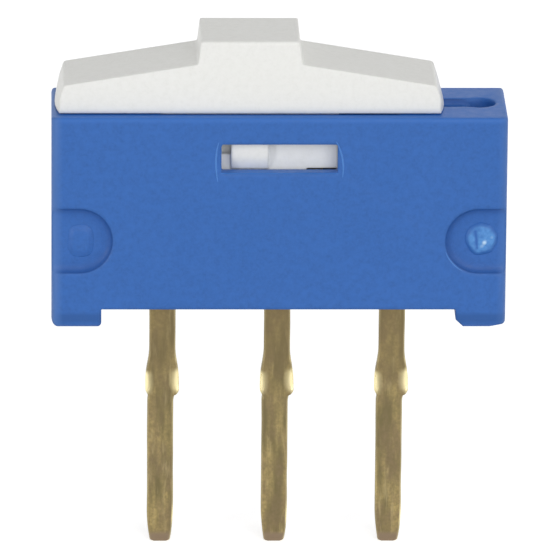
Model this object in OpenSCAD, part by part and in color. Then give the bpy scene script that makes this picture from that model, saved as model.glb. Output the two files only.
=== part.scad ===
// Two-position slide switch for a circuit board, with three pins in a row.
// X runs along the slider's travel, -Y is the front, Z is up.
// The origin is the middle of the board face that the feet stand on.
// The slider is drawn at the left end of its travel.

/* [Terminals] */
// Distance between neighbouring pins
pin_pitch = 2.54; // [2.4:0.02:3]
// Width of a pin
pin_w = 0.6; // [0.4:0.02:0.7]
// Thickness of the terminal strip
strip_t = 0.3; // [0.2:0.02:0.4]
// Length of a pin below the board's upper face
pin_l = 5.35; // [3:0.05:7]
// Length of a pin's tapered tip
tip_l = 0.8; // [0.4:0.02:1]
// Width of a pin at its very tip
tip_w = 0.44; // [0.2:0.02:0.5]
// Thickness of a pin at its very tip
tip_t = 0.18; // [0.1:0.02:0.24]
// Length of the bevels that thin a pin towards its tip
tip_bevel_l = 0.24; // [0.1:0.02:0.6]
// Width across the swaged bulge that grips the board
swage_w = 0.8; // [0.72:0.02:1]
// Depth of the bulge's lower shoulder below the board's upper face
swage_depth = 1.93; // [1.5:0.01:2.2]
// Height of the full-width part of the bulge
swage_h = 0.42; // [0.3:0.02:0.7]
// Height of the slow ramp above the bulge
swage_ramp = 0.55; // [0.3:0.05:0.7]
// Width of the flats that the punch leaves along the bulge's edges
flat_w = 0.13; // [0.06:0.01:0.2]
// Depth of those flats at the edge
flat_depth = 0.09; // [0.04:0.01:0.13]
// Height of those flats
flat_h = 0.54; // [0.3:0.02:0.8]
// Sideways set of a pin below its bulge
pin_set = 0.045; // [0:0.005:0.06]
// Width of the contact blade at a terminal's upper end
blade_w = 1.7; // [1.5:0.05:2]
// Height of the blade's upper edge below the housing's top
blade_drop = 1.75; // [1.6:0.05:1.85]
// Width of the anchor that holds a terminal in its base
anchor_w = 1; // [0.8:0.05:1.4]
// Height of that anchor
anchor_h = 0.3; // [0.2:0.05:0.5]

/* [Housing] */
// Depth of the housing from front to back
housing_d = 2.5; // [2.4:0.05:3.4]
// Height of the housing without its feet
housing_h = 4.38; // [4.2:0.02:5.5]
// Thickness of the front and back walls
side_wall = 0.35; // [0.25:0.05:0.45]
// Thickness of the end walls
end_wall = 1.3; // [1.2:0.05:1.8]
// Thickness of the roof over the ends of the chamber
roof_t = 0.5; // [0.4:0.05:0.8]
// Radius of the upright corners
corner_r = 0.2; // [0.05:0.05:0.24]
// Radius of the edges round the top
rim_r = 0.07; // [0.03:0.01:0.12]

/* [Feet] */
// Height of the stand-off feet
foot_h = 0.42; // [0.3:0.02:0.8]
// Length of a foot along the housing
foot_l = 1.1; // [0.6:0.05:1.15]
// Radius of the left foot's outer lower corner
foot_r = 0.2; // [0.05:0.01:0.3]
// Radius of the left foot's inner lower corner
toe_r = 0.12; // [0.02:0.01:0.2]
// Length of the rise under the right foot's outer end
heel_l = 0.4; // [0.2:0.02:0.6]
// Height of that rise
heel_h = 0.09; // [0.03:0.01:0.15]
// Chamfer on the right foot's inner lower corner
key_chamfer = 0.18; // [0.05:0.01:0.25]
// Height up to which the front and back of the feet lean inwards
lean_h = 0.34; // [0.2:0.02:0.6]
// Amount by which they lean
lean_depth = 0.05; // [0.02:0.01:0.1]
// Radius along the front and back lower edges of the feet
sole_r = 0.08; // [0.03:0.01:0.15]

/* [Window] */
// Length of the windows in the front and back walls
window_l = 2.55; // [2.4:0.05:3.2]
// Height of the windows
window_h = 0.66; // [0.6:0.02:0.8]
// Depth of a window's upper edge below the housing's top
window_drop = 0.6; // [0.5:0.05:0.7]
// Radius of the windows' corners
window_r = 0.05; // [0.02:0.01:0.1]

/* [End recesses] */
// Height of the D-shaped recesses in the front face
recess_h = 1.48; // [1:0.02:1.8]
// Reach of a recess from the housing's end
recess_l = 1.35; // [1:0.05:1.8]
// Depth of a recess
recess_depth = 0.12; // [0.05:0.01:0.2]
// Width of the hollow wall round a recess
recess_slope = 0.2; // [0.05:0.01:0.3]
// Height of the recesses' middle above the housing's lower edge
recess_rise = 1.57; // [1.2:0.01:2.4]
// Width of the broken-off gate in the right recess
gate_d = 0.5; // [0.3:0.05:0.8]
// Height of that gate above the recess floor
gate_h = 0.04; // [0.02:0.01:0.1]
// Distance from the gate to the housing's end
gate_inset = 0.55; // [0.45:0.01:0.8]

/* [Detent] */
// Width of the grooves in the housing's top
groove_w = 0.66; // [0.46:0.02:0.8]
// Depth of the grooves
groove_depth = 0.15; // [0.08:0.01:0.2]
// Width of the round dimples at the grooves' outer ends
dimple_d = 0.74; // [0.6:0.02:0.9]
// Depth of the dimples
dimple_depth = 0.45; // [0.3:0.05:0.8]
// Distance from a dimple's middle to the housing's end
dimple_inset = 0.59; // [0.5:0.01:0.7]
// Radius of the slider's bumps that click into the dimples
bump_r = 0.22; // [0.2:0.01:0.24]

/* [Slider] */
// Travel of the slider from one position to the other
travel = 1.3; // [1.1:0.02:1.4]
// Width of the ledge that the bar leaves free along the housing's top
bar_ledge = 0.25; // [0.15:0.05:0.3]
// Distance from the bar's end to the housing's end at the end of the travel
bar_inset = 0.07; // [0.01:0.01:0.2]
// Height of the bar at its ends
bar_end_h = 0.64; // [0.4:0.01:0.8]
// Height of the bar beside the knob
bar_mid_h = 1.12; // [0.9:0.01:1.3]
// Lean of the bar's ends
bar_end_lean = 0.2; // [0.05:0.01:0.3]
// Amount by which the bar's ends bow out between front and back
bar_bow = 0.105; // [0.02:0.005:0.2]
// Radius of the bar's upper end corners
bar_end_r = 0.1; // [0.05:0.01:0.2]
// Length of the knob at its foot
knob_l = 2.28; // [1.6:0.02:3]
// Height of the knob's top above the bar's underside
knob_h = 1.64; // [1.4:0.02:2.5]
// Draft of each side of the knob
knob_draft = 0.06; // [0:0.01:0.1]
// Height of the bevels along the bar's lower edges
bar_bevel_h = 0.12; // [0.05:0.01:0.2]
// Depth of those bevels
bar_bevel_depth = 0.035; // [0.02:0.005:0.1]
// Radius of the slider's outer edges
slider_r = 0.06; // [0.02:0.01:0.08]
// Depth of the stem's underside below the housing's top
stem_drop = 1.26; // [1.2:0.02:1.4]
// Wall at each end of the stem, beyond the contact clip
stem_end = 0.31; // [0.15:0.01:0.35]
// Length of the leg that guards the clip
leg_l = 2.5; // [2:0.1:3]
// Distance from the leg down to the terminal base
leg_gap = 0.5; // [0.2:0.05:0.7]
// Length of the snap lugs in the windows
lug_l = 0.82; // [0.6:0.02:1]
// Reach of the snap lugs into the walls
lug_reach = 0.1; // [0.08:0.01:0.2]
// Height of the lugs' upright face
lug_face_h = 0.3; // [0.2:0.02:0.5]
// Reach of the lugs' lower end beyond the stem
lug_toe = 0.05; // [0.02:0.01:0.07]
// Width of the relief beside each lug
relief_w = 0.22; // [0.1:0.02:0.3]
// Height of that relief
relief_h = 0.3; // [0.2:0.02:0.4]
// Depth of that relief
relief_depth = 0.22; // [0.1:0.02:0.25]

/* [Moving contact] */
// Thickness of the clip's spring strip
clip_t = 0.1; // [0.06:0.01:0.12]
// Width of the clip across its bends
clip_w = 0.96; // [0.9:0.02:1.1]
// Length of one pair of split fingers along the travel
finger_l = 0.7; // [0.6:0.05:1.1]
// Width of the slit between two fingers
slit_w = 0.12; // [0.06:0.02:0.2]
// Radius at the middle of the strip in the clip's bends
bend_r = 0.13; // [0.1:0.01:0.16]
// Radius at the middle of the strip in the rounded jaws
jaw_r = 0.3; // [0.2:0.02:0.34]
// Depth of the jaws below the blades' upper edge
jaw_drop = 0.5; // [0.3:0.02:0.55]
// Angle at which the fingers' tips flare outwards
flare_angle = 38; // [20:1:50]
// Depth of the clip's seat in the stem
clip_seat = 0.23; // [0.15:0.01:0.3]
// Width of the peg that locates the clip
peg_d = 0.4; // [0.3:0.02:0.5]
// Length of the peg beyond the clip
peg_proud = 0.06; // [0.02:0.01:0.1]

/* [Base and resin] */
// Height of the terminal base
base_h = 0.8; // [0.6:0.05:1.2]
// Thickness of the resin under the base
resin_t = 0.3; // [0.2:0.05:0.4]
// Width of the step that the base stops against
seat_step = 0.09; // [0.05:0.01:0.15]

/* [Clearances] */
// Gap between the end blades and the chamber's ends
blade_gap = 0.31; // [0.15:0.01:0.5]
// Gap under the slider's bar
bar_gap = 0.03; // [0.02:0.01:0.08]
// Gap at each side of the stem
stem_gap = 0.08; // [0.04:0.01:0.12]
// Gap left at each end of the travel
stop_gap = 0.02; // [0.01:0.01:0.05]
// Gap over the snap lugs
lug_gap = 0.04; // [0.02:0.01:0.08]
// Gap between jaws and blades
jaw_gap = 0.02; // [0.01:0.01:0.04]
// Gap round the clip and its peg
clip_gap = 0.02; // [0.01:0.01:0.04]
// Gap between bumps and groove floor
bump_gap = 0.02; // [0.01:0.01:0.04]
// Gap round the terminal base
base_gap = 0.02; // [0.01:0.01:0.04]

/* [Hidden] */
$fn = 48;
// Length of one step along a rounded corner, and the fewest steps in one
arc_step = 0.04;
fewest_steps = 3;
// Steps in the hollow wall of a recess and in the bow of the bar's ends
curve_steps = 6;
// Overshoot of a cut past the face it opens
cut = 0.1;

// The blades set the chamber's length, and the chamber sets the housing's.
chamber_l = 2 * pin_pitch + blade_w + 2 * blade_gap;
chamber_d = housing_d - 2 * side_wall;
housing_l = chamber_l + 2 * end_wall;
seat_l = chamber_l + 2 * seat_step;
seat_d = chamber_d + 2 * seat_step;

// Heights above the board
housing_top = foot_h + housing_h;
base_bottom = foot_h + resin_t;
base_top = base_bottom + base_h;
blade_top = housing_top - blade_drop;
window_top = housing_top - window_drop;
recess_z = foot_h + recess_rise;
bar_bottom = housing_top + bar_gap;
stem_bottom = housing_top - stem_drop;
leg_bottom = base_top + leg_gap;
lug_top = window_top - lug_gap;
clip_top = stem_bottom + clip_seat;
jaw_z = blade_top - jaw_drop;

// Slider and clip, measured from the slider's own middle
bar_l = housing_l - travel - 2 * bar_inset;
bar_d = housing_d - 2 * bar_ledge;
bow_r = (pow(bar_d / 2, 2) + pow(bar_bow, 2)) / (2 * bar_bow);
bow_angle = asin(bar_d / 2 / bow_r);
clip_l = pin_pitch + finger_l;
stem_l = clip_l + 2 * clip_gap + 2 * stem_end;
stem_d = chamber_d - 2 * stem_gap;
channel_l = clip_l + 2 * clip_gap;
channel_d = clip_w + 2 * clip_gap;
slot_l = stem_l + travel + 2 * stop_gap;
dimple_x = housing_l / 2 - dimple_inset;
bump_x = dimple_x - travel / 2;
bump_h = bar_gap + groove_depth - bump_gap;
slider_rest_x = -travel / 2;

plastic_blue = [0.26, 0.43, 0.70];
plastic_white = [0.93, 0.93, 0.91];
plastic_dark = [0.16, 0.17, 0.19];
resin_amber = [0.34, 0.25, 0.16];
gold = [0.72, 0.58, 0.30];
spring_gold = [0.80, 0.66, 0.36];

function unit(v) = v / norm(v);

// The shorter turn from one angle to another
function turn(from, to) =
    let (sweep = to - from)
    sweep > 180 ? sweep - 360 : sweep < -180 ? sweep + 360 : sweep;

// Points on an arc, from one angle through a turn
function arc(centre, r, from, sweep) =
    let (steps = max(fewest_steps, ceil(r * abs(sweep) * PI / 180 / arc_step)))
    [
        for (i = [0 : steps])
            let (angle = from + sweep * i / steps)
            centre + r * [cos(angle), sin(angle)]
    ];

// Points of the arc that rounds corner b between its neighbours a and c
function fillet(a, b, c, r) =
    r == 0 ? [b] :
    let (u = unit(a - b))
    let (v = unit(c - b))
    let (half = acos(u * v) / 2)
    let (centre = b + unit(u + v) * r / sin(half))
    let (first = b + u * r / tan(half) - centre)
    let (last = b + v * r / tan(half) - centre)
    let (from = atan2(first.y, first.x))
    arc(centre, r, from, turn(from, atan2(last.y, last.x)));

function xy(corner) = [corner.x, corner.y];

// An outline from corners given as [x, y, radius]
function rounded(corners) =
    let (n = len(corners))
    [
        for (i = [0 : n - 1])
            let (before = corners[(i + n - 1) % n])
            let (after = corners[(i + 1) % n])
            each fillet(xy(before), xy(corners[i]), xy(after), corners[i].z)
    ];

// Corners of an upright rectangle centred on x, with one radius below and one above
function plate_corners(w, low, high, r_low, r_high) = [
    [-w / 2, low, r_low],
    [w / 2, low, r_low],
    [w / 2, high, r_high],
    [-w / 2, high, r_high]
];

// Draws an outline of x and z, with thickness d about y = 0
module front_plate(outline, d) {
    rotate([90, 0, 0])
        linear_extrude(d, center = true)
            polygon(outline);
}

// Draws an outline of y and z, with length l about x = 0
module side_plate(outline, l) {
    rotate([90, 0, 90])
        linear_extrude(l, center = true)
            polygon(outline);
}

// Draws a box about the Z axis, between two heights
module block(l, d, low, high) {
    translate([-l / 2, -d / 2, low])
        cube([l, d, high - low]);
}

// Puts a copy at each end of the housing
module both_ends() {
    children();
    mirror([1, 0, 0])
        children();
}

// Outline of the housing from the front, with its two feet
module housing_front() {
    end = housing_l / 2;
    front_plate(rounded([
        [-end, 0, foot_r],
        [-end + foot_l, 0, toe_r],
        [-end + foot_l, foot_h, 0],
        [end - foot_l, foot_h, 0],
        [end - foot_l, key_chamfer, 0],
        [end - foot_l + key_chamfer, 0, 0],
        [end - heel_l, 0, heel_l],
        [end, heel_h, heel_h],
        [end, housing_top, rim_r],
        [-end, housing_top, rim_r]
    ]), 2 * housing_d);
}

// Outline of the housing from the side, with feet that lean inwards
module housing_side() {
    face = housing_d / 2;
    side_plate(rounded([
        [lean_depth - face, 0, sole_r],
        [face - lean_depth, 0, sole_r],
        [face, lean_h, 0],
        [face, housing_top, rim_r],
        [-face, housing_top, rim_r],
        [-face, lean_h, 0]
    ]), 2 * housing_l);
}

// Outer form: what the front, side and top outlines have in common
module housing_form() {
    intersection() {
        housing_front();
        housing_side();
        linear_extrude(2 * housing_top)
            polygon(rounded(plate_corners(housing_l, -housing_d / 2, housing_d / 2, corner_r, corner_r)));
    }
}

// Chamber, seat of the base and slot of the stem
module housing_hollow() {
    block(chamber_l, chamber_d, foot_h - cut, housing_top - roof_t);
    block(seat_l, seat_d, foot_h - cut, base_top);
    block(slot_l, chamber_d, foot_h, housing_top + cut);
}

module windows() {
    front_plate(
        rounded(plate_corners(window_l, window_top - window_h, window_top, window_r, window_r)),
        2 * housing_d
    );
}

// Section of a recess's wall as corners of distance and depth: steep at the mouth, level at the floor
function recess_wall() = [
    for (i = [0 : curve_steps])
        let (angle = 90 * i / curve_steps)
        [recess_h / 2 - recess_slope * (1 - cos(angle)), recess_depth * sin(angle), 0]
];

// D-shaped recess at the right end of the front face: half a revolved hollow, run out to the end
module end_recess() {
    r = recess_h / 2;
    half = concat([[r, -cut, 0]], recess_wall());
    translate([housing_l / 2 - recess_l + r, -housing_d / 2, recess_z])
        rotate([-90, 0, 0]) {
            rotate_extrude()
                polygon(rounded(concat([[0, -cut, 0]], half, [[0, recess_depth, 0]])));
            rotate([90, 0, 90])
                linear_extrude(recess_l)
                    polygon(rounded(concat(half, mirrored(half))));
        }
}

// Low stub left on the floor of the right recess where the moulding gate broke off
module gate_stub() {
    translate([housing_l / 2 - gate_inset, recess_depth - housing_d / 2, recess_z])
        rotate([90, 0, 0])
            cylinder(gate_h, d1 = gate_d, d2 = gate_d - gate_h);
}

// Groove in the top for one bump, and the dimple that the bump clicks into
module detent_track() {
    groove_l = travel + bump_r + bump_gap;
    translate([dimple_x - groove_l, -groove_w / 2, housing_top - groove_depth])
        cube([groove_l, groove_w, groove_depth + cut]);
    translate([dimple_x, 0, housing_top - dimple_depth])
        cylinder(dimple_depth + cut, d = dimple_d);
}

module housing() {
    color(plastic_blue) {
        difference() {
            housing_form();
            housing_hollow();
            windows();
            both_ends()
                end_recess();
            both_ends()
                detent_track();
        }
        gate_stub();
    }
}

// Outline of bar and knob from the side, bevelled below
module slider_side() {
    face = bar_d / 2;
    side_plate(rounded([
        [bar_bevel_depth - face, bar_bottom, 0],
        [face - bar_bevel_depth, bar_bottom, 0],
        [face, bar_bottom + bar_bevel_h, 0],
        [face, bar_bottom + knob_h, slider_r],
        [-face, bar_bottom + knob_h, slider_r],
        [-face, bar_bottom + bar_bevel_h, 0]
    ]), 2 * bar_l);
}

// Corners of the bar's right end from above, on a flat arc from front to back
function bowed_end() = [
    for (i = [0 : curve_steps])
        let (angle = bow_angle * (2 * i / curve_steps - 1))
        let (r = i == 0 || i == curve_steps ? slider_r : 0)
        [bar_l / 2 - bow_r * (1 - cos(angle)), bow_r * sin(angle), r]
];

// Bar and knob: what the front, side and top outlines have in common
module slider_bar() {
    end = bar_l / 2;
    knob = knob_l / 2;
    intersection() {
        front_plate(rounded([
            [-end, bar_bottom, 0],
            [end, bar_bottom, 0],
            [end - bar_end_lean, bar_bottom + bar_end_h, bar_end_r],
            [knob, bar_bottom + bar_mid_h, slider_r],
            [knob - knob_draft, bar_bottom + knob_h, slider_r],
            [knob_draft - knob, bar_bottom + knob_h, slider_r],
            [-knob, bar_bottom + bar_mid_h, slider_r],
            [bar_end_lean - end, bar_bottom + bar_end_h, bar_end_r]
        ]), 2 * bar_d);
        slider_side();
        linear_extrude(bar_bottom + 2 * knob_h)
            polygon(rounded(concat(bowed_end(), mirrored(bowed_end()))));
    }
}

// Snap lug on the front of the stem, with its lead-in slope below
module lug() {
    reach = stem_gap + lug_reach;
    translate([0, -stem_d / 2, 0])
        side_plate([
            [stem_gap, stem_bottom],
            [-lug_toe, stem_bottom],
            [-reach, lug_top - lug_face_h],
            [-reach, lug_top],
            [stem_gap, lug_top]
        ], lug_l);
}

// Pocket that lets the wall beside a lug give as it snaps in
module lug_relief() {
    translate([-lug_l / 2 - relief_w, -stem_d / 2 - cut, lug_top - relief_h])
        cube([relief_w, relief_depth + cut, relief_h + lug_gap]);
}

// Channel in the stem and leg that holds the contact clip
module clip_channel() {
    block(channel_l, channel_d, leg_bottom - cut, clip_top);
}

module slider_stem() {
    difference() {
        union() {
            block(stem_l, stem_d, stem_bottom, bar_bottom + bar_end_h / 2);
            block(leg_l, stem_d, leg_bottom, stem_bottom + clip_seat);
        }
        clip_channel();
        lug_relief();
        rotate([0, 0, 180])
            lug_relief();
    }
    translate([0, 0, clip_top - clip_t - peg_proud])
        cylinder(clip_t + peg_proud + clip_seat / 2, d = peg_d);
}

// Bump under the end of the bar
module bump() {
    translate([bump_x, 0, bar_bottom - bump_h + bump_r])
        sphere(bump_r);
}

module slider() {
    color(plastic_white)
        translate([slider_rest_x, 0, 0]) {
            slider_bar();
            slider_stem();
            lug();
            rotate([0, 0, 180])
                lug();
            both_ends()
                bump();
        }
}

// Half of the clip's section, as an outline of y and z: web, bend, leaning arm and rounded jaw.
// The arm is the line that touches the bend on one side and the jaw on the other.
function clip_half() =
    let (bend_at = [clip_w / 2 - clip_t / 2 - bend_r, clip_top - clip_t / 2 - bend_r])
    let (jaw_at = [strip_t / 2 + jaw_gap + clip_t / 2 + jaw_r, jaw_z])
    let (span = jaw_at - bend_at)
    let (lean = atan2(span.y, span.x) - asin((bend_r + jaw_r) / norm(span)) + 90)
    let (outer = clip_t / 2)
    concat(
        [[0, clip_top]],
        arc(bend_at, bend_r + outer, 90, lean - 90),
        arc(jaw_at, jaw_r - outer, lean + 180, flare_angle - lean),
        arc(jaw_at, jaw_r + outer, flare_angle + 180, lean - flare_angle),
        arc(bend_at, bend_r - outer, lean, 90 - lean),
        [[0, clip_top - clip_t]]
    );

// One pair of split fingers on each side of the blades
module finger_pair() {
    difference() {
        union() {
            side_plate(clip_half(), finger_l);
            mirror([0, 1, 0])
                side_plate(clip_half(), finger_l);
        }
        block(slit_w, 2 * clip_w, leg_bottom - finger_l, clip_top - clip_t - 2 * bend_r);
    }
}

module moving_contact() {
    web_d = clip_w - clip_t - 2 * bend_r;
    color(spring_gold)
        translate([slider_rest_x, 0, 0])
            difference() {
                union() {
                    for (side = [-1, 1])
                        translate([side * pin_pitch / 2, 0, 0])
                            finger_pair();
                    block(pin_pitch, web_d, clip_top - clip_t, clip_top);
                }
                translate([0, 0, clip_top - clip_t - cut])
                    cylinder(clip_t + 2 * cut, d = peg_d + 2 * clip_gap);
            }
}

// Right-hand corners of a terminal from top to tip, for a pin that is straight
function terminal_side() =
    let (anchor_z = (base_bottom + base_top) / 2)
    let (swage_low = -swage_depth)
    [
        [blade_w / 2, blade_top, pin_w / 4],
        [blade_w / 2, base_top, 0],
        [pin_w / 2, base_top, 0],
        [pin_w / 2, anchor_z + anchor_h / 2, 0],
        [anchor_w / 2, anchor_z + anchor_h / 2, 0],
        [anchor_w / 2, anchor_z - anchor_h / 2, 0],
        [pin_w / 2, anchor_z - anchor_h / 2, 0],
        [pin_w / 2, swage_low + swage_h + swage_ramp, swage_ramp],
        [swage_w / 2, swage_low + swage_h, swage_ramp],
        [swage_w / 2, swage_low, (swage_w - pin_w) / 2],
        [pin_w / 2, swage_low - (swage_w - pin_w) / 2, 0],
        [pin_w / 2, tip_l - pin_l, tip_l / 4],
        [tip_w / 2, -pin_l, tip_t / 4]
    ];

// Moves the corners below the bulge sideways by the pin's set
function with_set(corners) = [
    for (c = corners) [c.x - (c.y < -swage_depth ? pin_set : 0), c.y, c.z]
];

function mirrored(corners) = [
    for (i = [len(corners) - 1 : -1 : 0]) [-corners[i].x, corners[i].y, corners[i].z]
];

// Side view of a terminal: an even strip with a bevelled tip
function terminal_edge() = [
    [-strip_t / 2, blade_top],
    [-strip_t / 2, tip_bevel_l - pin_l],
    [-tip_t / 2, -pin_l],
    [tip_t / 2, -pin_l],
    [strip_t / 2, tip_bevel_l - pin_l],
    [strip_t / 2, blade_top]
];

// Flat that a punch leaves along the bulge's right front edge
module punch_flat() {
    past = flat_depth * cut / flat_w;
    translate([swage_w / 2, -strip_t / 2, -swage_depth + flat_depth])
        linear_extrude(flat_h)
            polygon([[-flat_w, 0], [-flat_w, -cut], [cut, -cut], [cut, flat_depth + past]]);
}

// A whole terminal about x = 0
module terminal_strip() {
    corners = concat(terminal_side(), mirrored(terminal_side()));
    difference() {
        intersection() {
            front_plate(rounded(with_set(corners)), 2 * strip_t);
            side_plate(terminal_edge(), 2 * blade_w);
        }
        for (x = [0, 1], y = [0, 1])
            mirror([x, 0, 0])
                mirror([0, y, 0])
                    punch_flat();
    }
}

// Puts a copy at a pin's place, counted from the middle one
module at_pin(place) {
    translate([place * pin_pitch, 0, 0])
        children();
}

module terminal_left() {
    color(gold)
        at_pin(-1)
            terminal_strip();
}

module terminal_common() {
    color(gold)
        at_pin(0)
            terminal_strip();
}

module terminal_right() {
    color(gold)
        at_pin(1)
            terminal_strip();
}

module all_terminals() {
    for (place = [-1 : 1])
        at_pin(place)
            terminal_strip();
}

// Base moulded round the terminals
module terminal_base() {
    color(plastic_dark)
        difference() {
            block(seat_l - 2 * base_gap, seat_d - 2 * base_gap, base_bottom, base_top);
            all_terminals();
        }
}

// Resin poured into the housing's mouth, level with its lower edge
module sealing_resin() {
    color(resin_amber)
        difference() {
            block(seat_l, seat_d, foot_h, base_bottom);
            all_terminals();
        }
}

housing();
slider();
moving_contact();
terminal_base();
sealing_resin();
terminal_left();
terminal_common();
terminal_right();
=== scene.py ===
"""Dresses the slide switch: moulded plastics, plated pins, poured resin and the moulding's small marks."""
import math

import bpy
from mathutils import Matrix, Vector, noise


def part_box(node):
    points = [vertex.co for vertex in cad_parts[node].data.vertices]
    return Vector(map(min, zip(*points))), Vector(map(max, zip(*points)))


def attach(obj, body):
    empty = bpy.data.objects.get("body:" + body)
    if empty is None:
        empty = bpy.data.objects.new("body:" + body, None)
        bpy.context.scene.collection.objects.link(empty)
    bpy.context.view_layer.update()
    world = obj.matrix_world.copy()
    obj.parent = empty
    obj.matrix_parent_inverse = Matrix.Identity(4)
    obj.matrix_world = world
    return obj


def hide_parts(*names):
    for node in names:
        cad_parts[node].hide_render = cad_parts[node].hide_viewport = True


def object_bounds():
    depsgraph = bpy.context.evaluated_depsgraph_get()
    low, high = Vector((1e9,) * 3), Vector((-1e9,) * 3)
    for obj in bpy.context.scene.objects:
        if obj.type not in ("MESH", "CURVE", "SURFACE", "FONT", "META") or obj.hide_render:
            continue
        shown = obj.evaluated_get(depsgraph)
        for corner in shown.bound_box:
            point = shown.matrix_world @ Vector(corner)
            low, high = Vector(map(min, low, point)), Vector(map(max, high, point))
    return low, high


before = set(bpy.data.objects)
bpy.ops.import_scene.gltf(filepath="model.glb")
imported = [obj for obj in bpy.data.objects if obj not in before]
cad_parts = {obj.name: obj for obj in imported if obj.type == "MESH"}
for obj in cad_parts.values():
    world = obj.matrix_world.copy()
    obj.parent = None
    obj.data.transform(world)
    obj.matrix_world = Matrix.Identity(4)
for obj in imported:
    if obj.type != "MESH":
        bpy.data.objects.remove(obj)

cad_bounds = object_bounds()

# Lengths are in millimetres and colours are linear, unless a name says otherwise. Where something fades in,
# a pair of values says where it starts and where it is complete.
MM = 0.001
METRES_TO_MM = 1000.0
LEFT = -1
RIGHT = 1

# Camera, fitted to the photograph's frame
CAMERA_DISTANCE = 200.0
CAMERA_AZIMUTH_DEG = -1.5
CAMERA_ELEVATION_DEG = 17.3
CAMERA_ROLL_DEG = 0.45
CAMERA_TARGET = Vector((0.025, -1.25, 1.103))
SENSOR_WIDTH = 36.0
IMAGE_WIDTH_PX = 560.0
PIXELS_PER_MM = 45.5

# Light. A lamp has azimuth and elevation in degrees, distance, width, height and watts. Azimuth 0 is the
# front.
WORLD_LIGHT = 0.46
WHITE = (1.0, 1.0, 1.0)
FLOOR_COLOUR = (0.9, 0.9, 0.9)
FLOOR_ROUGHNESS = 0.9
FLOOR_GLOW = 0.57
FLOOR_SIZE = 4000.0
LAMPS = {
    "key": (20.0, 23.0, 420.0, 300.0, 260.0, 0.6),
    "left_strip": (-46.0, 8.0, 300.0, 60.0, 120.0, 0.2),
    "right_strip": (80.0, 8.0, 300.0, 60.0, 200.0, 0.11),
}

# Edges sharper than SHARP_DEG are rounded, and the shading breaks at those that stay sharper than CRISP_DEG
HOUSING_EDGE = 0.012
SLIDER_EDGE = 0.012
CLIP_EDGE = 0.012
BASE_EDGE = 0.03
EDGE_SEGMENTS = 3
SHARP_DEG = 35.0
HOUSING_SHARP_DEG = 65.0
CRISP_DEG = 40.0
NORMAL_WEIGHT = 50
WELD_DISTANCE = 1e-3
FLAT_ANGLE_DEG = 0.6

# What all moulded plastics share
NOISE_RANGE = (0.3, 0.7)
PLASTIC = {"IOR": 1.5, "Specular_IOR_Level": 0.45}
DRIFT_PER_MM = 0.55
MOTTLE_PER_MM = 7.0
SPECKLE_PER_MM = 16.0
SPOT_SHARE = 0.8
GLOSS_PER_MM = 6.0
GLOSS_DRIFT = 0.06
GRAIN_PER_MM = 38.0
WAVE_PER_MM = 1.3
WAVE_DEPTH = 0.012
RELIEF = 0.5
SOFT_EDGE_SAMPLES = 8

# Plain plastics
WHITE_LOOK = {"shade": (0.88, 0.88, 0.84), "tint": (0.9, 0.9, 0.87), "mottle": 0.06,
              "roughness": 0.42, "grain": 0.004, "soft_r": 0.07}
# Paler blue of the beads and the recess lip, a painted highlight
HIGHLIGHT_LOOK = {"shade": (0.055, 0.2, 0.57), "tint": (0.07, 0.23, 0.62), "mottle": 0.1,
               "roughness": 0.4, "grain": 0.002}
DARK_LOOK = {"shade": (0.018, 0.02, 0.025), "tint": (0.03, 0.032, 0.038), "mottle": 0.1,
             "roughness": 0.5, "grain": 0.006, "soft_r": 0.02}

# Blue of the housing, with painted shade in its hollows, on its recess walls and on its feet
BLUE_SHADE = (0.0215, 0.1225, 0.43)
BLUE_TINT = (0.028, 0.138, 0.475)
BLUE_MOTTLE = 0.18
BLUE_ROUGHNESS = 0.48
BLUE_GRAIN = 0.006
HOUSING_SOFT_R = 0.13
# Painted shade: darker blue where the housing sees little of its surroundings, in hollows and on the recess
# walls
HOLLOW_SHADE_BLUE = (0.004, 0.071, 0.302)
HOLLOW_REACH = 0.45
HOLLOW_SAMPLES = 12
HOLLOW_SKY = (0.94, 0.84)
BELOW_WINDOW_Z = (3.3, 2.9)
WALL_SHARE = 0.6
WALL_INNER_R = (0.55, 0.65)
WALL_OUTER_R = (0.755, 0.735)
WALL_Y = (-1.1, -1.13)
# Painted shade on the feet, a darker band just above the sole
FOOT_SHADE = 0.8
FOOT_Z = (0.37, 0.28)
SOLE_Z = (0.05, 0.16)

# Painted light on the housing: paler on its top and on the windows' lower ledges, and a painted sheen at its
# ends
TOP_LIGHT_BLUE = (0.027, 0.15, 0.52)
TOP_Z = (4.66, 4.78)
LEDGE_LIGHT_BLUE = (0.04, 0.19, 0.6)
LEDGE_DROP = 1.26
LEDGE_REACH = (0.014, 0.006)
LEDGE_X = (1.3, 1.27)
LEDGE_Y = (0.8, 0.9)
# Painted sheen at both ends of the housing, stronger at the left
SHEEN_BLUE = (0.066, 0.176, 0.475)
LEFT_SHEEN_X = (-4.74, -4.92)
LEFT_SHEEN_SHARE = 0.85
RIGHT_SHEEN_X = (4.78, 4.98)
RIGHT_SHEEN_SHARE = 0.55

# Plastic torn off at the gate
TORN_BLUE = (0.0225, 0.123, 0.43)
TORN_SHADE = (0.06, 0.235, 0.6)
TORN_TINT = (0.1, 0.3, 0.68)
TORN_WHITE_AND_GLINT = (0.5, 0.72, 0.95)
PALE_STRESS = (0.0, 0.5)
WHITE_STRESS = (0.6, 1.0)

# Gold plating of the terminals
GOLD_DULL = (0.175, 0.142, 0.068)
GOLD_PALE = (0.4, 0.308, 0.134)
GOLD_ROSY = (0.225, 0.165, 0.095)
GOLD_SPECK = (0.165, 0.135, 0.066)
GOLD_HAIRLINE = (0.46, 0.37, 0.19)
GOLD_ROOT_SHADE = (0.165, 0.125, 0.064)
GOLD_CUT = (0.265, 0.2, 0.135)
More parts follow.
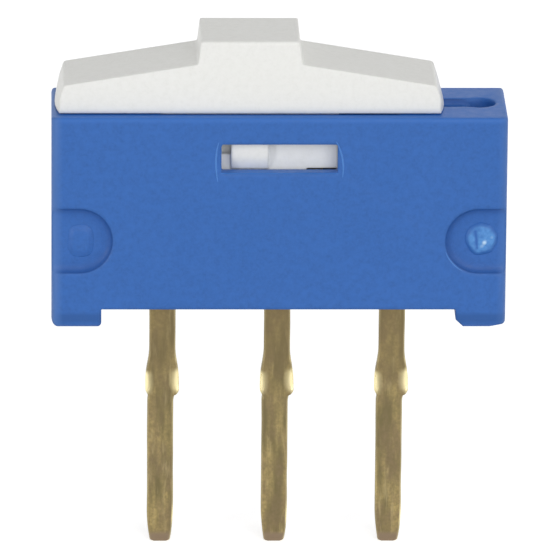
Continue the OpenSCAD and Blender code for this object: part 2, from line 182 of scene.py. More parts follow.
# Painted highlight on the pins' edges and punched facets
GOLD_HIGHLIGHT = (0.98, 0.86, 0.5)
STREAK_RANGE = (0.38, 0.62)
ROSY_RANGE = (0.42, 0.62)
ROSY_SHARE = 0.8
SPECK_SHARE = 0.6
HAIRLINE_RANGE = (0.56, 0.75)
HAIRLINE_SHARE = 0.5
# Painted shade on the pins towards the housing
ROOT_Z = (-2.4, -0.9)
ROOT_SHARE = 0.55
POLISH = 0.2

# Spring strip and resin
SPRING_SHADE = (0.55, 0.4, 0.15)
SPRING_TINT = (0.7, 0.54, 0.24)
RESIN_SHADE = (0.055, 0.03, 0.013)
RESIN_TINT = (0.13, 0.072, 0.03)
RESIN_IOR = 1.55

# Pin profile, from the board's upper face down. The two edges of a pin are struck unlike each other.
PIN_W = 0.58
SWAGE_W = 0.75
RAMP_TOP_Z = -0.85
SWAGE_TOP_Z = -1.58
SWAGE_LOW_Z = -1.80
SHOULDER_Z = {LEFT: -1.97, RIGHT: -1.93}
PIN_SET = 0.042
SET_LOW_Z = -2.07
TIP_L = 0.74
TIP_W = 0.44
TIP_POWER = 1.8
TIP_BEVEL_L = 0.22
TIP_T = 0.18
TIP_R = 0.05
TIP_BAND = (0.27, 0.15)
PIN_GAPS = (0.08, 0.013, 0.08, 0.02)
WAVER = 0.006
WAVER_PER_MM = 1.7

# Corners of a pin: rounded, and flattened to oval facets where the punch struck, with a painted highlight on
# the facets and along the edges
EDGE_R = 0.055
DEEPEST_CUT = 0.9
CORNER_STEPS = 5
FACET_Z = {LEFT: (-1.30, -1.95), RIGHT: (-1.24, -1.92)}
FACET_W = {LEFT: 0.11, RIGHT: 0.155}
FACET_POWER = 1.2
FACET_DEPTH = 0.09
FACET_HALO = 0.09
HALO_SHARE = 0.3
HALO_HIGHLIGHT = 0.16
FACE_SHARE = 0.3
LIT_FACET = (0.05, 0.75)
FACET_LIT_TURN = (0.0, 0.7)
FACET_LIT_LEAST = 0.25
EDGE_HIGHLIGHT = {LEFT: 0.14, RIGHT: 0.32}
EDGE_TURN = (0.1, 0.6)
SHINE_WAVER = 0.8
SHINE_PER_MM = 40.0
SHINE_SEED = 5.0
GLINT_Z = -4.72
GLINT_L = 0.22
GLINT_SHINE = 0.6

# Blade and anchor of a terminal, inside the housing
BLADE_R = 0.15
BLADE_GAP = 0.03
ANCHOR_W = 1.0
ANCHOR_H = 0.3

# Marks on the front face, as places of x and z on it
FACE_Y = -1.25
RECESS_Y = -1.13
RECESS_CENTRE = (4.39, 1.99)
PATCH_RINGS = 14
PATCH_SPOKES = 64
PATCH_SINK = 0.02
PAD_CENTRE = (-4.356, 1.972)
PAD_HALF = (0.28, 0.37)
PAD_HEIGHT = 0.045
PAD_RIM = (0.58, 1.0)
PAD_POWER = 3.0
# Beads by the windows and on the right recess's lip, coloured with a painted highlight
BEAD_W = 0.045
BEAD_HEIGHT = 0.012
BEAD_END = 0.08
BEAD_POWER = 0.6
BEAD_SINK = 0.15
BEAD_SECTION = 6
BEAD_STEPS = 24
LEFT_BEAD = ((-1.333, 4.264), (-1.397, 3.831), (-1.35, 3.328))
RIGHT_BEAD = ((1.227, 4.288), (1.373, 3.878), (1.375, 3.443))
LIP_R = 0.768
LIP_W = 0.032
LIP_FROM_DEG = 198.0
LIP_TO_DEG = 244.0
LIP_STEPS = 28

# Torn gate in the right recess. Ragged, coarse, fine and drift are noises of an amount, a scale and a seed.
# Each line of SCAR_HILLS and SCAR_STRESS has an amount, a spread, and the place that it lies round or the
# two places that it runs between, counted from the gate's middle.
SCAR_CENTRE = (4.445, 2.02)
SCAR_HALF = (0.36, 0.37)
SCAR_RAGGED = (0.03, 2.0, 4.0)
SCAR_COARSE = (0.012, 7.0, 3.1)
SCAR_FINE = (0.008, 19.0, 9.7)
SCAR_TAIL = 0.03
SCAR_TAIL_DEG = -108.0
SCAR_TAIL_SPREAD = 0.2
SCAR_HEIGHT = 0.056
SCAR_RIM = (0.74, 1.0)
STUB_HEIGHT = 0.046
SCAR_PEAK = (0.062, -0.078)
SCAR_SPLIT = ((-0.13, 0.17), (-0.09, -0.2))
SCAR_HILLS = (
    (0.016, 0.07, (-0.23, 0.08), (-0.17, -0.2)),
    (-0.03, 0.035, *SCAR_SPLIT),
    (0.03, 0.045, SCAR_PEAK),
)
BASE_STRESS = 0.4
STRESS_DRIFT = (0.25, 9.0, 6.0)
STRESS_RIM = (0.64, 0.98)
SCAR_STRESS = (
    (0.24, 0.15, (0.17, 0.02)),
    (0.16, 0.1, (-0.2, -0.03)),
    (0.16, 0.05, SCAR_PEAK, (-0.06, -0.27)),
    (-0.5, 0.035, *SCAR_SPLIT),
    # The last two lines are a painted glint at the drawn-out peak
    (0.5, 0.035, SCAR_PEAK),
    (0.16, 0.05, (0.03, -0.14)),
)


def clamp(value):
    """A value held between 0 and 1."""
    return min(max(value, 0.0), 1.0)


def blend(first, second, share):
    """The value at a share of the way from the first to the second."""
    return first + (second - first) * share


def smooth(value, start, end):
    """Soft step from 0 at start to 1 at end."""
    t = clamp((value - start) / (end - start))
    return t * t * (3.0 - 2.0 * t)


def steps(start, end, gap):
    """Evenly spaced heights from start on towards end, about a gap apart."""
    count = max(1, round(abs(end - start) / gap))
    return [start + (end - start) * i / count for i in range(count)]


def corners(node):
    """Lowest and highest corner of a CAD node, in millimetres."""
    low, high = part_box(node)
    return low * METRES_TO_MM, high * METRES_TO_MM


class Shader:
    """A material on one Principled shader, with short calls to add nodes and links."""

    def __init__(self, name, **constants):
        self.material = bpy.data.materials.new(name)
        self.material.use_nodes = True
        self.tree = self.material.node_tree
        self.surface = self.tree.nodes["Principled BSDF"]
        for key, value in constants.items():
            self.feed(self.surface.inputs[key.replace("_", " ")], value)

    def feed(self, socket, value):
        """Links an input to an output, or sets it to a colour or number."""
        if isinstance(value, bpy.types.NodeSocket):
            self.tree.links.new(value, socket)
        elif socket.type == "RGBA":
            socket.default_value = (*value, 1.0)
        else:
            socket.default_value = value

    def drive(self, key, value):
        """Feeds an input of the Principled shader."""
        self.feed(self.surface.inputs[key], value)

    def add(self, kind, output, settings=None, **inputs):
        """Adds a node, feeds its inputs and returns one of its outputs."""
        node = self.tree.nodes.new(kind)
        for key, value in (settings or {}).items():
            setattr(node, key, value)
        for key, value in inputs.items():
            self.feed(node.inputs[key.replace("_", " ")], value)
        return node.outputs[output]

    def place(self):
        """Place on the piece, in millimetres."""
        metres = self.add("ShaderNodeTexCoord", "Object")
        return self.add("ShaderNodeVectorMath", "Vector", {"operation": "SCALE"},
                        Vector=metres, Scale=METRES_TO_MM)

    def axes(self):
        """Place on the piece as x, y and z, in millimetres."""
        return self.add("ShaderNodeSeparateXYZ", "X", Vector=self.place()).node.outputs

    def stored(self, layer):
        """A number that the mesh stores for each point."""
        return self.add("ShaderNodeAttribute", "Fac", {"attribute_name": layer})

    def noise(self, per_mm=1.0, detail=2.0, rough=0.5, stretch=(1.0, 1.0, 1.0)):
        """Noise between 0 and 1, at a scale per millimetre that may be stretched along x, y and z."""
        place = self.add("ShaderNodeMapping", "Vector", Vector=self.place(), Scale=stretch)
        return self.add("ShaderNodeTexNoise", "Fac", Vector=place,
                        Scale=per_mm, Detail=detail, Roughness=rough)

    def spread(self, value, start=NOISE_RANGE[0], end=NOISE_RANGE[1], low=0.0, high=1.0):
        """Spreads a value from start..end to low..high, and holds it there beyond them."""
        return self.add("ShaderNodeMapRange", "Result", Value=value,
                        From_Min=start, From_Max=end, To_Min=low, To_Max=high)

    def combine(self, operation, first, second=0.0):
        """Combines two values by a Math node."""
        node = self.tree.nodes.new("ShaderNodeMath")
        node.operation = operation
        self.feed(node.inputs[0], first)
        self.feed(node.inputs[1], second)
        return node.outputs["Value"]

    def mix(self, factor, first, second):
        """Mixes two colours."""
        node = self.tree.nodes.new("ShaderNodeMix")
        node.data_type = "RGBA"
        colours = [socket for socket in node.inputs if socket.type == "RGBA"]
        self.feed(node.inputs["Factor"], factor)
        self.feed(colours[0], first)
        self.feed(colours[1], second)
        return [socket for socket in node.outputs if socket.type == "RGBA"][0]

    def bump(self, height, depth, strength, below=None):
        """A bump of the given depth, laid over another one if there is one."""
        inputs = {"Height": height, "Distance": depth * MM, "Strength": strength}
        if below is not None:
            inputs["Normal"] = below
        return self.add("ShaderNodeBump", "Normal", **inputs)


def darker(colour, share):
    """A share of a colour."""
    return tuple(share * channel for channel in colour)


def moulded_colour(shader, shade, tint, mottle):
    """Colour of a moulding: slow drifts between two colours, a mottle of some depth and a speckle."""
    drifts = shader.noise(DRIFT_PER_MM, detail=3.0)
    spots = shader.noise(MOTTLE_PER_MM, detail=2.0)
    specks = shader.noise(SPECKLE_PER_MM, detail=3.0, rough=0.6)
    colour = shader.mix(shader.spread(drifts), shade, tint)
    colour = shader.mix(shader.spread(spots, high=SPOT_SHARE), colour, darker(shade, 1.0 - mottle))
    return shader.mix(shader.spread(specks, high=SPOT_SHARE), colour, tint)


def moulded_finish(shader, roughness, grain, soft_r=0.0):
    """Uneven gloss, a fine grain and a slow waviness, with edges softened further by a radius."""
    gloss = shader.noise(GLOSS_PER_MM, detail=4.0)
    dull = shader.spread(gloss, low=roughness - GLOSS_DRIFT, high=roughness + GLOSS_DRIFT)
    shader.drive("Roughness", dull)
    edges = None
    if soft_r:
        edges = shader.add("ShaderNodeBevel", "Normal", {"samples": SOFT_EDGE_SAMPLES}, Radius=soft_r * MM)
    grains = shader.bump(shader.noise(GRAIN_PER_MM, detail=3.0, rough=0.65), grain, RELIEF, edges)
    waves = shader.bump(shader.noise(WAVE_PER_MM, detail=1.0), WAVE_DEPTH, RELIEF, grains)
    shader.drive("Normal", waves)
    return shader.material


def moulded_plastic(name, shade, tint, mottle, roughness, grain, soft_r=0.0):
    """Plain moulded plastic."""
    shader = Shader(name, **PLASTIC)
    shader.drive("Base Color", moulded_colour(shader, shade, tint, mottle))
    return moulded_finish(shader, roughness, grain, soft_r)


def recess_walls(shader, x, y, z):
    """Where the recess walls get painted shade: 1 in the hollow walls of both recesses and 0 elsewhere, by
    the distance from a recess's middle.
    """
    inward = shader.combine("SUBTRACT", RECESS_CENTRE[0], shader.combine("ABSOLUTE", x))
    upward = shader.combine("SUBTRACT", z, RECESS_CENTRE[1])
    offset = shader.add("ShaderNodeCombineXYZ", "Vector", X=shader.combine("MAXIMUM", inward), Z=upward)
    radius = shader.add("ShaderNodeVectorMath", "Value", {"operation": "LENGTH"}, Vector=offset)
    beyond = shader.spread(radius, *WALL_INNER_R)
    within = shader.spread(radius, *WALL_OUTER_R)
    ring = shader.combine("MINIMUM", beyond, within)
    return shader.combine("MULTIPLY", ring, shader.spread(y, *WALL_Y))


def window_ledges(shader, x, y, z):
    """Where the windows' lower ledges get painted light: 1 on the lower ledges of both windows and 0
    elsewhere.
    """
    level = corners("housing")[1].z - LEDGE_DROP
    away = shader.combine("ABSOLUTE", shader.combine("SUBTRACT", z, level))
    between = shader.spread(shader.combine("ABSOLUTE", x), *LEDGE_X)
    outside = shader.spread(shader.combine("ABSOLUTE", y), *LEDGE_Y)
    return shader.combine("MULTIPLY", shader.spread(away, *LEDGE_REACH),
                          shader.combine("MULTIPLY", between, outside))


def housing_plastic(name):
    """Blue moulded plastic, with painted shade in hollows, on the recess walls and on the feet, painted
    light on top and on ledges, and a painted sheen at the ends.
    """
    shader = Shader(name, **PLASTIC)
    x, y, z = shader.axes()
    top = shader.spread(z, *TOP_Z)
    foot = shader.combine("MULTIPLY", shader.spread(z, *FOOT_Z), shader.spread(z, *SOLE_Z))
    sky = shader.add("ShaderNodeAmbientOcclusion", "AO", {"samples": HOLLOW_SAMPLES, "only_local": True},
                     Distance=HOLLOW_REACH * MM)
    off_window = shader.combine("MAXIMUM", shader.spread(z, *BELOW_WINDOW_Z), top)
    hollows = shader.combine("MULTIPLY", shader.spread(sky, *HOLLOW_SKY), off_window)
    walls = shader.combine("MULTIPLY", recess_walls(shader, x, y, z), WALL_SHARE)
    colour = moulded_colour(shader, BLUE_SHADE, BLUE_TINT, BLUE_MOTTLE)
    # Painted light: paler blue on the top face
    colour = shader.mix(top, colour, TOP_LIGHT_BLUE)
    # Painted shade on the feet
    colour = shader.mix(foot, colour, darker(BLUE_SHADE, FOOT_SHADE))
    # Painted shade in the hollows and on the recess walls
    colour = shader.mix(shader.combine("MAXIMUM", hollows, walls), colour, HOLLOW_SHADE_BLUE)
    # Painted light: paler blue on the windows' lower ledges, which lie in shade
    colour = shader.mix(window_ledges(shader, x, y, z), colour, LEDGE_LIGHT_BLUE)
    # Painted sheen at both ends
    colour = shader.mix(shader.spread(x, *LEFT_SHEEN_X, high=LEFT_SHEEN_SHARE), colour, SHEEN_BLUE)
    colour = shader.mix(shader.spread(x, *RIGHT_SHEEN_X, high=RIGHT_SHEEN_SHARE), colour, SHEEN_BLUE)
    shader.drive("Base Color", colour)
    return moulded_finish(shader, BLUE_ROUGHNESS, BLUE_GRAIN, HOUSING_SOFT_R)


def torn_plastic(name):
    """Plastic torn off at the gate: paler where it was stretched, almost white at the peaks, with a painted
    glint at the drawn-out peak.
    """
    shader = Shader(name, **PLASTIC)
    stress_and_glint = shader.stored("stress_and_glint")
    grain = shader.noise(per_mm=20.0, detail=3.0, rough=0.6)
    pale = shader.mix(shader.spread(grain), TORN_SHADE, TORN_TINT)
    torn = shader.mix(shader.spread(stress_and_glint, *PALE_STRESS), TORN_BLUE, pale)
    shader.drive("Base Color", shader.mix(shader.spread(stress_and_glint, *WHITE_STRESS), torn, TORN_WHITE_AND_GLINT))
    shader.drive("Roughness", shader.spread(grain, low=0.35, high=0.6))
    shader.drive("Normal", shader.bump(grain, depth=0.01, strength=0.5))
    return shader.material


def plated_gold(name):
    """Dull gold plating on rolled strip: streaked lengthways, with painted shade towards the root,
    bare at the cut tip, and a painted highlight on the edges and punched facets, where it is also smoother."""
    shader = Shader(name, Metallic=1.0)
    streaks = shader.noise(detail=3.0, rough=0.55, stretch=(4.2, 4.2, 0.8))
    hairlines = shader.noise(detail=3.0, rough=0.6, stretch=(10.0, 10.0, 1.6))
    patches = shader.noise(detail=4.0, rough=0.65, stretch=(2.8, 2.8, 1.5))
    specks = shader.noise(per_mm=15.0, detail=3.0, rough=0.6)
    painted_highlight = shader.stored("painted_highlight")
    z = shader.axes()["Z"]
    colour = shader.mix(shader.spread(streaks, *STREAK_RANGE), GOLD_DULL, GOLD_PALE)
    colour = shader.mix(shader.spread(patches, *ROSY_RANGE, high=ROSY_SHARE), colour, GOLD_ROSY)
    colour = shader.mix(shader.spread(specks, high=SPECK_SHARE), colour, GOLD_SPECK)
    lined = shader.spread(hairlines, *HAIRLINE_RANGE, high=HAIRLINE_SHARE)
    colour = shader.mix(lined, colour, GOLD_HAIRLINE)
    # Painted shade towards the root
    colour = shader.mix(shader.spread(z, *ROOT_Z, high=ROOT_SHARE), colour, GOLD_ROOT_SHADE)
    colour = shader.mix(shader.stored("tip"), colour, GOLD_CUT)
    # Painted highlight on the edges and punched facets
    shader.drive("Base Color", shader.mix(painted_highlight, colour, GOLD_HIGHLIGHT))
    rolled = shader.spread(streaks, low=0.36, high=0.52)
    polish = shader.spread(painted_highlight, 0.0, 1.0, high=POLISH)
    shader.drive("Roughness", shader.combine("SUBTRACT", rolled, polish))
    lines = shader.bump(hairlines, depth=0.004, strength=0.35)
    shader.drive("Normal", shader.bump(streaks, depth=0.012, strength=0.4, below=lines))
    return shader.material


def spring_gold(name):
    """Bright plated spring strip with faint rolling lines."""
    shader = Shader(name, Metallic=1.0)
    lines = shader.noise(detail=3.0, rough=0.6, stretch=(1.5, 40.0, 1.5))
    shader.drive("Base Color", shader.mix(shader.spread(lines), SPRING_SHADE, SPRING_TINT))
    shader.drive("Roughness", shader.spread(lines, low=0.24, high=0.38))
    shader.drive("Normal", shader.bump(lines, depth=0.004, strength=0.3))
    return shader.material


def poured_resin(name):
    """Dark amber resin with cloudy depths and a nearly glossy skin."""
    shader = Shader(name, IOR=RESIN_IOR)
    clouds = shader.noise(per_mm=1.1, detail=4.0, rough=0.6)
    skin = shader.noise(per_mm=3.0, detail=3.0)
    swells = shader.noise(per_mm=1.6, detail=2.0)
    shader.drive("Base Color", shader.mix(shader.spread(clouds), RESIN_SHADE, RESIN_TINT))
    shader.drive("Roughness", shader.spread(skin, low=0.14, high=0.3))
    shader.drive("Normal", shader.bump(swells, depth=0.02, strength=0.5))
    return shader.material


def dress(node, material, edge=0.0, sharp_deg=SHARP_DEG):
    """Gives a CAD node its finish, and rounds its sharp edges."""
    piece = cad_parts[node]
    piece.data.materials.clear()
    piece.data.materials.append(material)
    if edge:
        weld = piece.modifiers.new("weld", "WELD")
        weld.merge_threshold = WELD_DISTANCE * MM
        flat = piece.modifiers.new("flat", "DECIMATE")
        flat.decimate_type = "DISSOLVE"
        flat.angle_limit = math.radians(FLAT_ANGLE_DEG)
        bevel = piece.modifiers.new("edges", "BEVEL")
        bevel.width = edge * MM
        bevel.segments = EDGE_SEGMENTS
        bevel.limit_method = "ANGLE"
        bevel.angle_limit = math.radians(sharp_deg)
        bevel.use_clamp_overlap = False
        crisp = piece.modifiers.new("crisp", "EDGE_SPLIT")
        crisp.split_angle = math.radians(CRISP_DEG)
        crisp.use_edge_sharp = False
        even = piece.modifiers.new("even", "WEIGHTED_NORMAL")
        even.mode = "FACE_AREA"
        even.weight = NORMAL_WEIGHT
        even.keep_sharp = False


def mesh_piece(name, verts, faces, material):
    """A smooth new mesh, given in millimetres, that rides on the housing's body."""
    mesh = bpy.data.meshes.new(name)
    mesh.from_pydata([Vector(v) * MM for v in verts], [], faces)
    mesh.polygons.foreach_set("use_smooth", [True] * len(mesh.polygons))
    mesh.materials.append(material)
    mesh.update()
    piece = bpy.data.objects.new(name, mesh)
    bpy.context.scene.collection.objects.link(piece)
    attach(piece, "body")
    return piece


def store(piece, layer, values):
    """Stores one number per point, for the piece's material."""
    attribute = piece.data.attributes.new(layer, "FLOAT", "POINT")
    attribute.data.foreach_set("value", values)


def ring_faces(first, rings, size):
    """Quads between neighbouring rings of points, the first of which starts at the first point."""
    faces = []
    for i in range(rings - 1):
        a = first + i * size
        b = a + size
        for j in range(size):
            k = (j + 1) % size
            faces.append((a + j, b + j, b + k, a + k))
    return faces


def end_cap(first, size):
    """A face over the last ring."""
    return tuple(first + j for j in reversed(range(size)))


def tube_faces(rings, size):
    """Faces of a tube of rings, closed at both ends."""
    return ring_faces(0, rings, size) + [tuple(range(size)), end_cap((rings - 1) * size, size)]


def pin_half_width(z, tip_z, side):
    """Half width of a pin to one side: straight, ramping out to the bulge, shoulder, straight, tapered tip.
    The left shoulder is smooth, the right one is round with a crisp notch under it."""
    if side == LEFT:
        shoulder = 1.0 - smooth(z, SWAGE_LOW_Z, SHOULDER_Z[LEFT])
    else:
        drop = clamp((SWAGE_LOW_Z - z) / (SWAGE_LOW_Z - SHOULDER_Z[RIGHT]))
        shoulder = math.sqrt(1.0 - drop * drop)
    bulge = smooth(z, RAMP_TOP_Z, SWAGE_TOP_Z) * shoulder
    half = PIN_W / 2 + bulge * (SWAGE_W - PIN_W) / 2
    taper = clamp((tip_z + TIP_L - z) / TIP_L) ** TIP_POWER * (PIN_W - TIP_W) / 2
    corner = max(TIP_R - (z - tip_z), 0.0)
    return half - taper - TIP_R + math.sqrt(TIP_R ** 2 - corner ** 2)


def pin_shift(z):
    """Sideways set of the pin below its bulge."""
    return -PIN_SET * smooth(z, SWAGE_LOW_Z, SET_LOW_Z)


def facet_share(z, side):
    """How far the punch flattened an edge at this height: an oval between the facet's ends."""
    top, low = FACET_Z[side]
    along = (2.0 * z - top - low) / (top - low)
    return max(0.0, 1.0 - along * along) ** FACET_POWER


def painted_edge_highlight(z, side, edge):
    """Painted highlight along a pin's long edge at this height: uneven, with a glint low on the right."""
    waver = noise.noise((edge * SHINE_PER_MM, side * SHINE_SEED, z * WAVER_PER_MM))
    shine = EDGE_HIGHLIGHT[side] * (1.0 + SHINE_WAVER * waver)
    if side == RIGHT:
        shine += GLINT_SHINE * math.exp(-((z - GLINT_Z) / GLINT_L) ** 2)
    return shine


def pin_corner(z, half_t, side, edge):
    """Points of x, y and painted highlight round one corner of a pin's section, from the flat face to the
    edge.
    """
    facet = facet_share(z, side)
    lit = smooth(facet, *LIT_FACET)
    shine = painted_edge_highlight(z, side, edge)
    cut_x = blend(EDGE_R, FACET_W[side], facet)
    cut_y = min(blend(EDGE_R, FACET_DEPTH, facet), DEEPEST_CUT * half_t)
    points = [
        ((edge - cut_x) * FACE_SHARE, half_t, 0.0),
        (edge - cut_x - FACET_HALO, half_t, 0.0),
        (edge - cut_x - FACET_HALO * HALO_SHARE, half_t, HALO_HIGHLIGHT * lit),
    ]
    for k in range(CORNER_STEPS + 1):
        along = k / CORNER_STEPS
        turn = along * math.pi / 2
        out = blend(math.sin(turn), along, facet)
        back = 1.0 - blend(math.cos(turn), 1.0 - along, facet)
        edge_lit = shine * smooth(along, *EDGE_TURN)
        struck = blend(FACET_LIT_LEAST, 1.0, smooth(along, *FACET_LIT_TURN))
        points.append((edge - cut_x + cut_x * out, half_t - cut_y * back, blend(edge_lit, struck, lit)))
    return points


def pin_ring(x, z, halves, half_t, seed):
    """One ring of a pin's section, counter-clockwise from below, and the painted highlight at each point."""
    ring = []
    painted_highlight = []
    for side, face in ((RIGHT, -1), (RIGHT, 1), (LEFT, 1), (LEFT, -1)):
        edge = halves[side] + WAVER * noise.noise((seed + side, 0.0, z * WAVER_PER_MM))
        points = pin_corner(z, half_t, side, edge)
        if side * face > 0:
            points.reverse()
        ring += [(x + side * px, face * py, z) for px, py, _ in points]
        painted_highlight += [shine for _, _, shine in points]
    return ring, painted_highlight


def terminal_levels(node):
    """Heights and half widths to both sides of a terminal, from the blade's top to the pin's tip."""
    low, high = corners(node)
    base_low, base_high = corners("terminal_base")
    half_blade = (high.x - low.x) / 2
    anchor_mid = (base_low.z + base_high.z) / 2
    anchor_top = anchor_mid + ANCHOR_H / 2
    anchor_low = anchor_mid - ANCHOR_H / 2
    neck = PIN_W / 2
    inner = []
    for z in steps(high.z, high.z - BLADE_R, BLADE_GAP):
        rise = BLADE_R - (high.z - z)
        inner.append((z, half_blade - BLADE_R + math.sqrt(BLADE_R ** 2 - rise ** 2)))
    inner += [(high.z - BLADE_R, half_blade), (base_high.z, half_blade), (base_high.z, neck)]
    inner += [(anchor_top, neck), (anchor_top, ANCHOR_W / 2), (anchor_low, ANCHOR_W / 2), (anchor_low, neck)]
    levels = [(z, {LEFT: half, RIGHT: half}) for z, half in inner]
    marks = [base_low.z, RAMP_TOP_Z, SET_LOW_Z, low.z + TIP_L, low.z]
    heights = []
    for start, end, gap in zip(marks, marks[1:], PIN_GAPS):
        heights += steps(start, end, gap)
    for z in heights + [low.z]:
        levels.append((z, {side: pin_half_width(z, low.z, side) for side in (LEFT, RIGHT)}))
    return levels


def terminal(node, name, material):
    """A whole terminal: blade and anchor inside the housing, and the swaged pin below it."""
    low, high = corners(node)
    centre = round((low.x + high.x) / 2, 3)
    half_t = (high.y - low.y) / 2
    verts = []
    painted_highlight = []
    tip = []
    levels = terminal_levels(node)
    for z, halves in levels:
        thin = smooth(z, low.z + TIP_BEVEL_L, low.z) * (half_t - TIP_T / 2)
        ring, shine = pin_ring(centre + pin_shift(z), z, halves, half_t - thin, centre)
        verts += ring
        painted_highlight += shine
        tip += [smooth(z - low.z, *TIP_BAND)] * len(ring)
    faces = tube_faces(len(levels), len(verts) // len(levels))
    piece = mesh_piece(name, verts, faces, material)
    store(piece, "painted_highlight", painted_highlight)
    store(piece, "tip", tip)
    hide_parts(node)


def face_patch(name, centre, y, rim, height, material):
    """A raised patch on a front-facing floor: rings from the middle out to its rim, and a skirt into the
    floor. The rim is a radius by angle, the height is by place in the patch and by share of the radius."""
    verts = [(centre[0], y - height(0.0, 0.0, 0.0), centre[1])]
    for i in range(1, PATCH_RINGS + 2):
        share = min(i / PATCH_RINGS, 1.0)
        for j in range(PATCH_SPOKES):
            angle = 2.0 * math.pi * j / PATCH_SPOKES
            u = share * rim(angle) * math.cos(angle)
            v = share * rim(angle) * math.sin(angle)
            rise = height(u, v, share) if i <= PATCH_RINGS else -PATCH_SINK
            verts.append((centre[0] + u, y - rise, centre[1] + v))
    faces = [(0, 1 + j, 1 + (j + 1) % PATCH_SPOKES) for j in range(PATCH_SPOKES)]
    faces += ring_faces(1, PATCH_RINGS + 1, PATCH_SPOKES)
    faces.append(end_cap(1 + PATCH_RINGS * PATCH_SPOKES, PATCH_SPOKES))
    return mesh_piece(name, verts, faces, material)


def uneven(u, v, amount, scale, seed):
    """Noise at a place, up to an amount to both sides of 0."""
    return amount * noise.noise((scale * u, scale * v, seed))


def near(u, v, spread, first, last=None):
    """Soft hill round a place, or soft ridge along the line between two places."""
    x, z = first
    if last is not None:
        along_x = last[0] - x
        along_z = last[1] - z
        share = clamp(((u - x) * along_x + (v - z) * along_z) / (along_x ** 2 + along_z ** 2))
        x += share * along_x
        z += share * along_z
    return math.exp(-((u - x) ** 2 + (v - z) ** 2) / spread ** 2)


def hills(u, v, table):
    """Sum of the hills and ridges in a table, at a place."""
    return sum(amount * near(u, v, spread, *places) for amount, spread, *places in table)


def scar_rim(angle):
    """Ragged outline of the torn gate, with a tail below."""
    half_x, half_z = SCAR_HALF
    oval = 1.0 / math.hypot(math.cos(angle) / half_x, math.sin(angle) / half_z)
    ragged = uneven(math.cos(angle), math.sin(angle), *SCAR_RAGGED)
    off = math.remainder(angle - math.radians(SCAR_TAIL_DEG), 2.0 * math.pi)
    return oval + ragged + SCAR_TAIL * math.exp(-(off / SCAR_TAIL_SPREAD) ** 2)


def scar_height(u, v, share):
    """Torn surface of the gate: a ragged crest to the left, a split beside it and a drawn-out peak."""
    rough = uneven(u, v, *SCAR_COARSE) + uneven(u, v, *SCAR_FINE)
    torn = max(SCAR_HEIGHT + rough + hills(u, v, SCAR_HILLS), STUB_HEIGHT)
    return torn * (1.0 - smooth(share, *SCAR_RIM))


def scar_stress(u, v):
    """How far the plastic was stretched: pale lobes to both sides and a dark split, and a painted glint at
    the drawn-out peak.
    """
    share = math.hypot(u, v) / scar_rim(math.atan2(v, u))
    stress_and_glint = BASE_STRESS + uneven(u, v, *STRESS_DRIFT) + hills(u, v, SCAR_STRESS)
    return clamp(stress_and_glint * (1.0 - smooth(share, *STRESS_RIM)))


def gate_scar(material):
    """The rough spot in the right recess where the moulding was broken off its gate."""
    piece = face_patch("gate_scar", SCAR_CENTRE, RECESS_Y, scar_rim, scar_height, material)
    stress_and_glint = []
    for vertex in piece.data.vertices:
        u = vertex.co.x * METRES_TO_MM - SCAR_CENTRE[0]
        v = vertex.co.z * METRES_TO_MM - SCAR_CENTRE[1]
        stress_and_glint.append(scar_stress(u, v))
    store(piece, "stress_and_glint", stress_and_glint)


def pad_rim(angle):
    """Outline of an oblong with well-rounded corners."""
    across = abs(math.cos(angle) / PAD_HALF[0]) ** PAD_POWER
    upward = abs(math.sin(angle) / PAD_HALF[1]) ** PAD_POWER
    return (across + upward) ** (-1.0 / PAD_POWER)


def pad_height(u, v, share):
    """Level top of the pad, falling off softly towards its rim."""
    return PAD_HEIGHT * (1.0 - smooth(share, *PAD_RIM))


def bead(name, route, material, width=BEAD_W):
    """A low half-round bead on the front face along a route of x and z, thinning out at both ends."""
    verts = []
    for i, (x, z) in enumerate(route):
        ahead = route[min(i + 1, len(route) - 1)]
        behind = route[max(i - 1, 0)]
        along = Vector((ahead[0] - behind[0], ahead[1] - behind[1])).normalized()
        swell = blend(BEAD_END, 1.0, math.sin(math.pi * i / (len(route) - 1)) ** BEAD_POWER)
        for k in range(BEAD_SECTION + 1):
            turn = math.pi * k / BEAD_SECTION
            offset = width / 2 * swell * math.cos(turn)
            rise = BEAD_HEIGHT * (swell * math.sin(turn) - BEAD_SINK)
            verts.append((x - along.y * offset, FACE_Y - rise, z + along.x * offset))
    mesh_piece(name, verts, tube_faces(len(route), BEAD_SECTION + 1), material)


def bow(first, middle, last):
    """Points on a curve through three places."""
    control = [2.0 * m - 0.5 * (a + b) for a, m, b in zip(first, middle, last)]
    points = []
    for i in range(BEAD_STEPS + 1):
        t = i / BEAD_STEPS
        points.append(tuple((1 - t) ** 2 * a + 2 * t * (1 - t) * c + t * t * b
                            for a, c, b in zip(first, control, last)))
    return points


def lip_route():
    """Points along the lower left of the right recess's mouth."""
    points = []
    for i in range(LIP_STEPS + 1):
        angle = math.radians(blend(LIP_FROM_DEG, LIP_TO_DEG, i / LIP_STEPS))
        x = RECESS_CENTRE[0] + LIP_R * math.cos(angle)
        z = RECESS_CENTRE[1] + LIP_R * math.sin(angle)
        points.append((x, z))
    return points


def seen_directly(tree):
    """1 for rays from the camera, or by way of gloss or glass, and 0 for light that falls on the object."""
    path = tree.nodes.new("ShaderNodeLightPath")
    total = path.outputs["Is Camera Ray"]
    for other in ("Is Glossy Ray", "Is Transmission Ray"):
        most = tree.nodes.new("ShaderNodeMath")
        most.operation = "MAXIMUM"
        tree.links.new(total, most.inputs[0])
        tree.links.new(path.outputs[other], most.inputs[1])
        total = most.outputs["Value"]
    return total


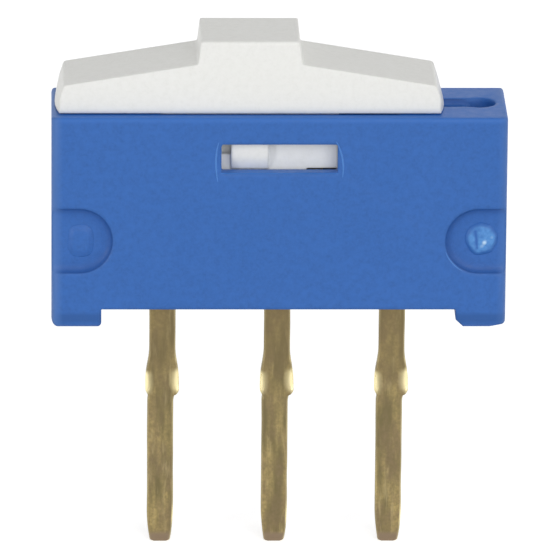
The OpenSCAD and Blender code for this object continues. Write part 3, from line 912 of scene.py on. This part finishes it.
def stage():
    """White floor at the pins' tips that keeps the shadow."""
    low = cad_bounds[0][2]
    half = FLOOR_SIZE / 2 * MM
    mesh = bpy.data.meshes.new("floor")
    mesh.from_pydata([(-half, -half, low), (half, -half, low), (half, half, low), (-half, half, low)],
                     [], [(0, 1, 2, 3)])
    floor = bpy.data.objects.new("floor", mesh)
    bpy.context.scene.collection.objects.link(floor)
    shader = Shader("floor_white", Base_Color=FLOOR_COLOUR, Roughness=FLOOR_ROUGHNESS,
                    Specular_IOR_Level=0.0, Emission_Color=WHITE)
    shader.drive("Emission Strength", shader.combine("MULTIPLY", seen_directly(shader.tree), FLOOR_GLOW))
    mesh.materials.append(shader.material)


def backdrop():
    """White all round, dimmer as a light than as a background."""
    world = bpy.data.worlds.new("studio")
    bpy.context.scene.world = world
    world.use_nodes = True
    tree = world.node_tree
    background = tree.nodes["Background"]
    background.inputs["Color"].default_value = (*WHITE, 1.0)
    strength = tree.nodes.new("ShaderNodeMapRange")
    strength.inputs["To Min"].default_value = WORLD_LIGHT
    strength.inputs["To Max"].default_value = 1.0
    tree.links.new(seen_directly(tree), strength.inputs["Value"])
    tree.links.new(strength.outputs["Result"], background.inputs["Strength"])


def aim(thing, azimuth_deg, elevation_deg, distance, roll_deg=0.0):
    """Places a lamp or camera round the target and turns it there."""
    azimuth = math.radians(azimuth_deg)
    elevation = math.radians(elevation_deg)
    level = math.cos(elevation)
    away = Vector((math.sin(azimuth) * level, -math.cos(azimuth) * level, math.sin(elevation)))
    turn = (-away).to_track_quat("-Z", "Y").to_matrix().to_4x4()
    thing.matrix_world = turn @ Matrix.Rotation(math.radians(roll_deg), 4, "Z")
    thing.location = (CAMERA_TARGET + away * distance) * MM
    bpy.context.scene.collection.objects.link(thing)


def softbox(name, azimuth_deg, elevation_deg, distance, width, height, watts):
    """A soft lamp that looks at the object's middle."""
    lamp = bpy.data.lights.new(name, "AREA")
    lamp.shape = "RECTANGLE"
    lamp.size = width * MM
    lamp.size_y = height * MM
    lamp.energy = watts
    aim(bpy.data.objects.new(name, lamp), azimuth_deg, elevation_deg, distance)


def camera():
    """Long lens in front of the switch, a little above it and to its left."""
    lens = bpy.data.cameras.new("camera")
    lens.sensor_width = SENSOR_WIDTH
    lens.lens = PIXELS_PER_MM * CAMERA_DISTANCE * SENSOR_WIDTH / IMAGE_WIDTH_PX
    view = bpy.data.objects.new("camera", lens)
    aim(view, CAMERA_AZIMUTH_DEG, CAMERA_ELEVATION_DEG, CAMERA_DISTANCE, CAMERA_ROLL_DEG)
    bpy.context.scene.camera = view


bpy.context.scene.view_settings.view_transform = "Standard"
camera()
stage()
backdrop()
for lamp_name, lamp_setting in LAMPS.items():
    softbox(lamp_name, *lamp_setting)

blue = housing_plastic("blue_plastic")
plain = moulded_plastic("plain_blue", BLUE_SHADE, BLUE_TINT, BLUE_MOTTLE, BLUE_ROUGHNESS, BLUE_GRAIN)
white = moulded_plastic("white_plastic", **WHITE_LOOK)
bright = moulded_plastic("painted_highlight_blue", **HIGHLIGHT_LOOK)
dark = moulded_plastic("dark_plastic", **DARK_LOOK)
gold = plated_gold("dull_gold")

dress("housing", blue, HOUSING_EDGE, HOUSING_SHARP_DEG)
dress("slider", white, SLIDER_EDGE)
dress("moving_contact", spring_gold("spring_gold"), CLIP_EDGE)
dress("terminal_base", dark, BASE_EDGE)
dress("sealing_resin", poured_resin("amber_resin"))
for place in ("left", "common", "right"):
    terminal("terminal_" + place, "pin_" + place, gold)
gate_scar(torn_plastic("torn_plastic"))
face_patch("plain_pad", PAD_CENTRE, RECESS_Y, pad_rim, pad_height, plain)
# The beads and the lip carry a painted highlight
bead("left_bead", bow(*LEFT_BEAD), bright)
bead("right_bead", bow(*RIGHT_BEAD), bright)
bead("recess_lip", lip_route(), bright, LIP_W)
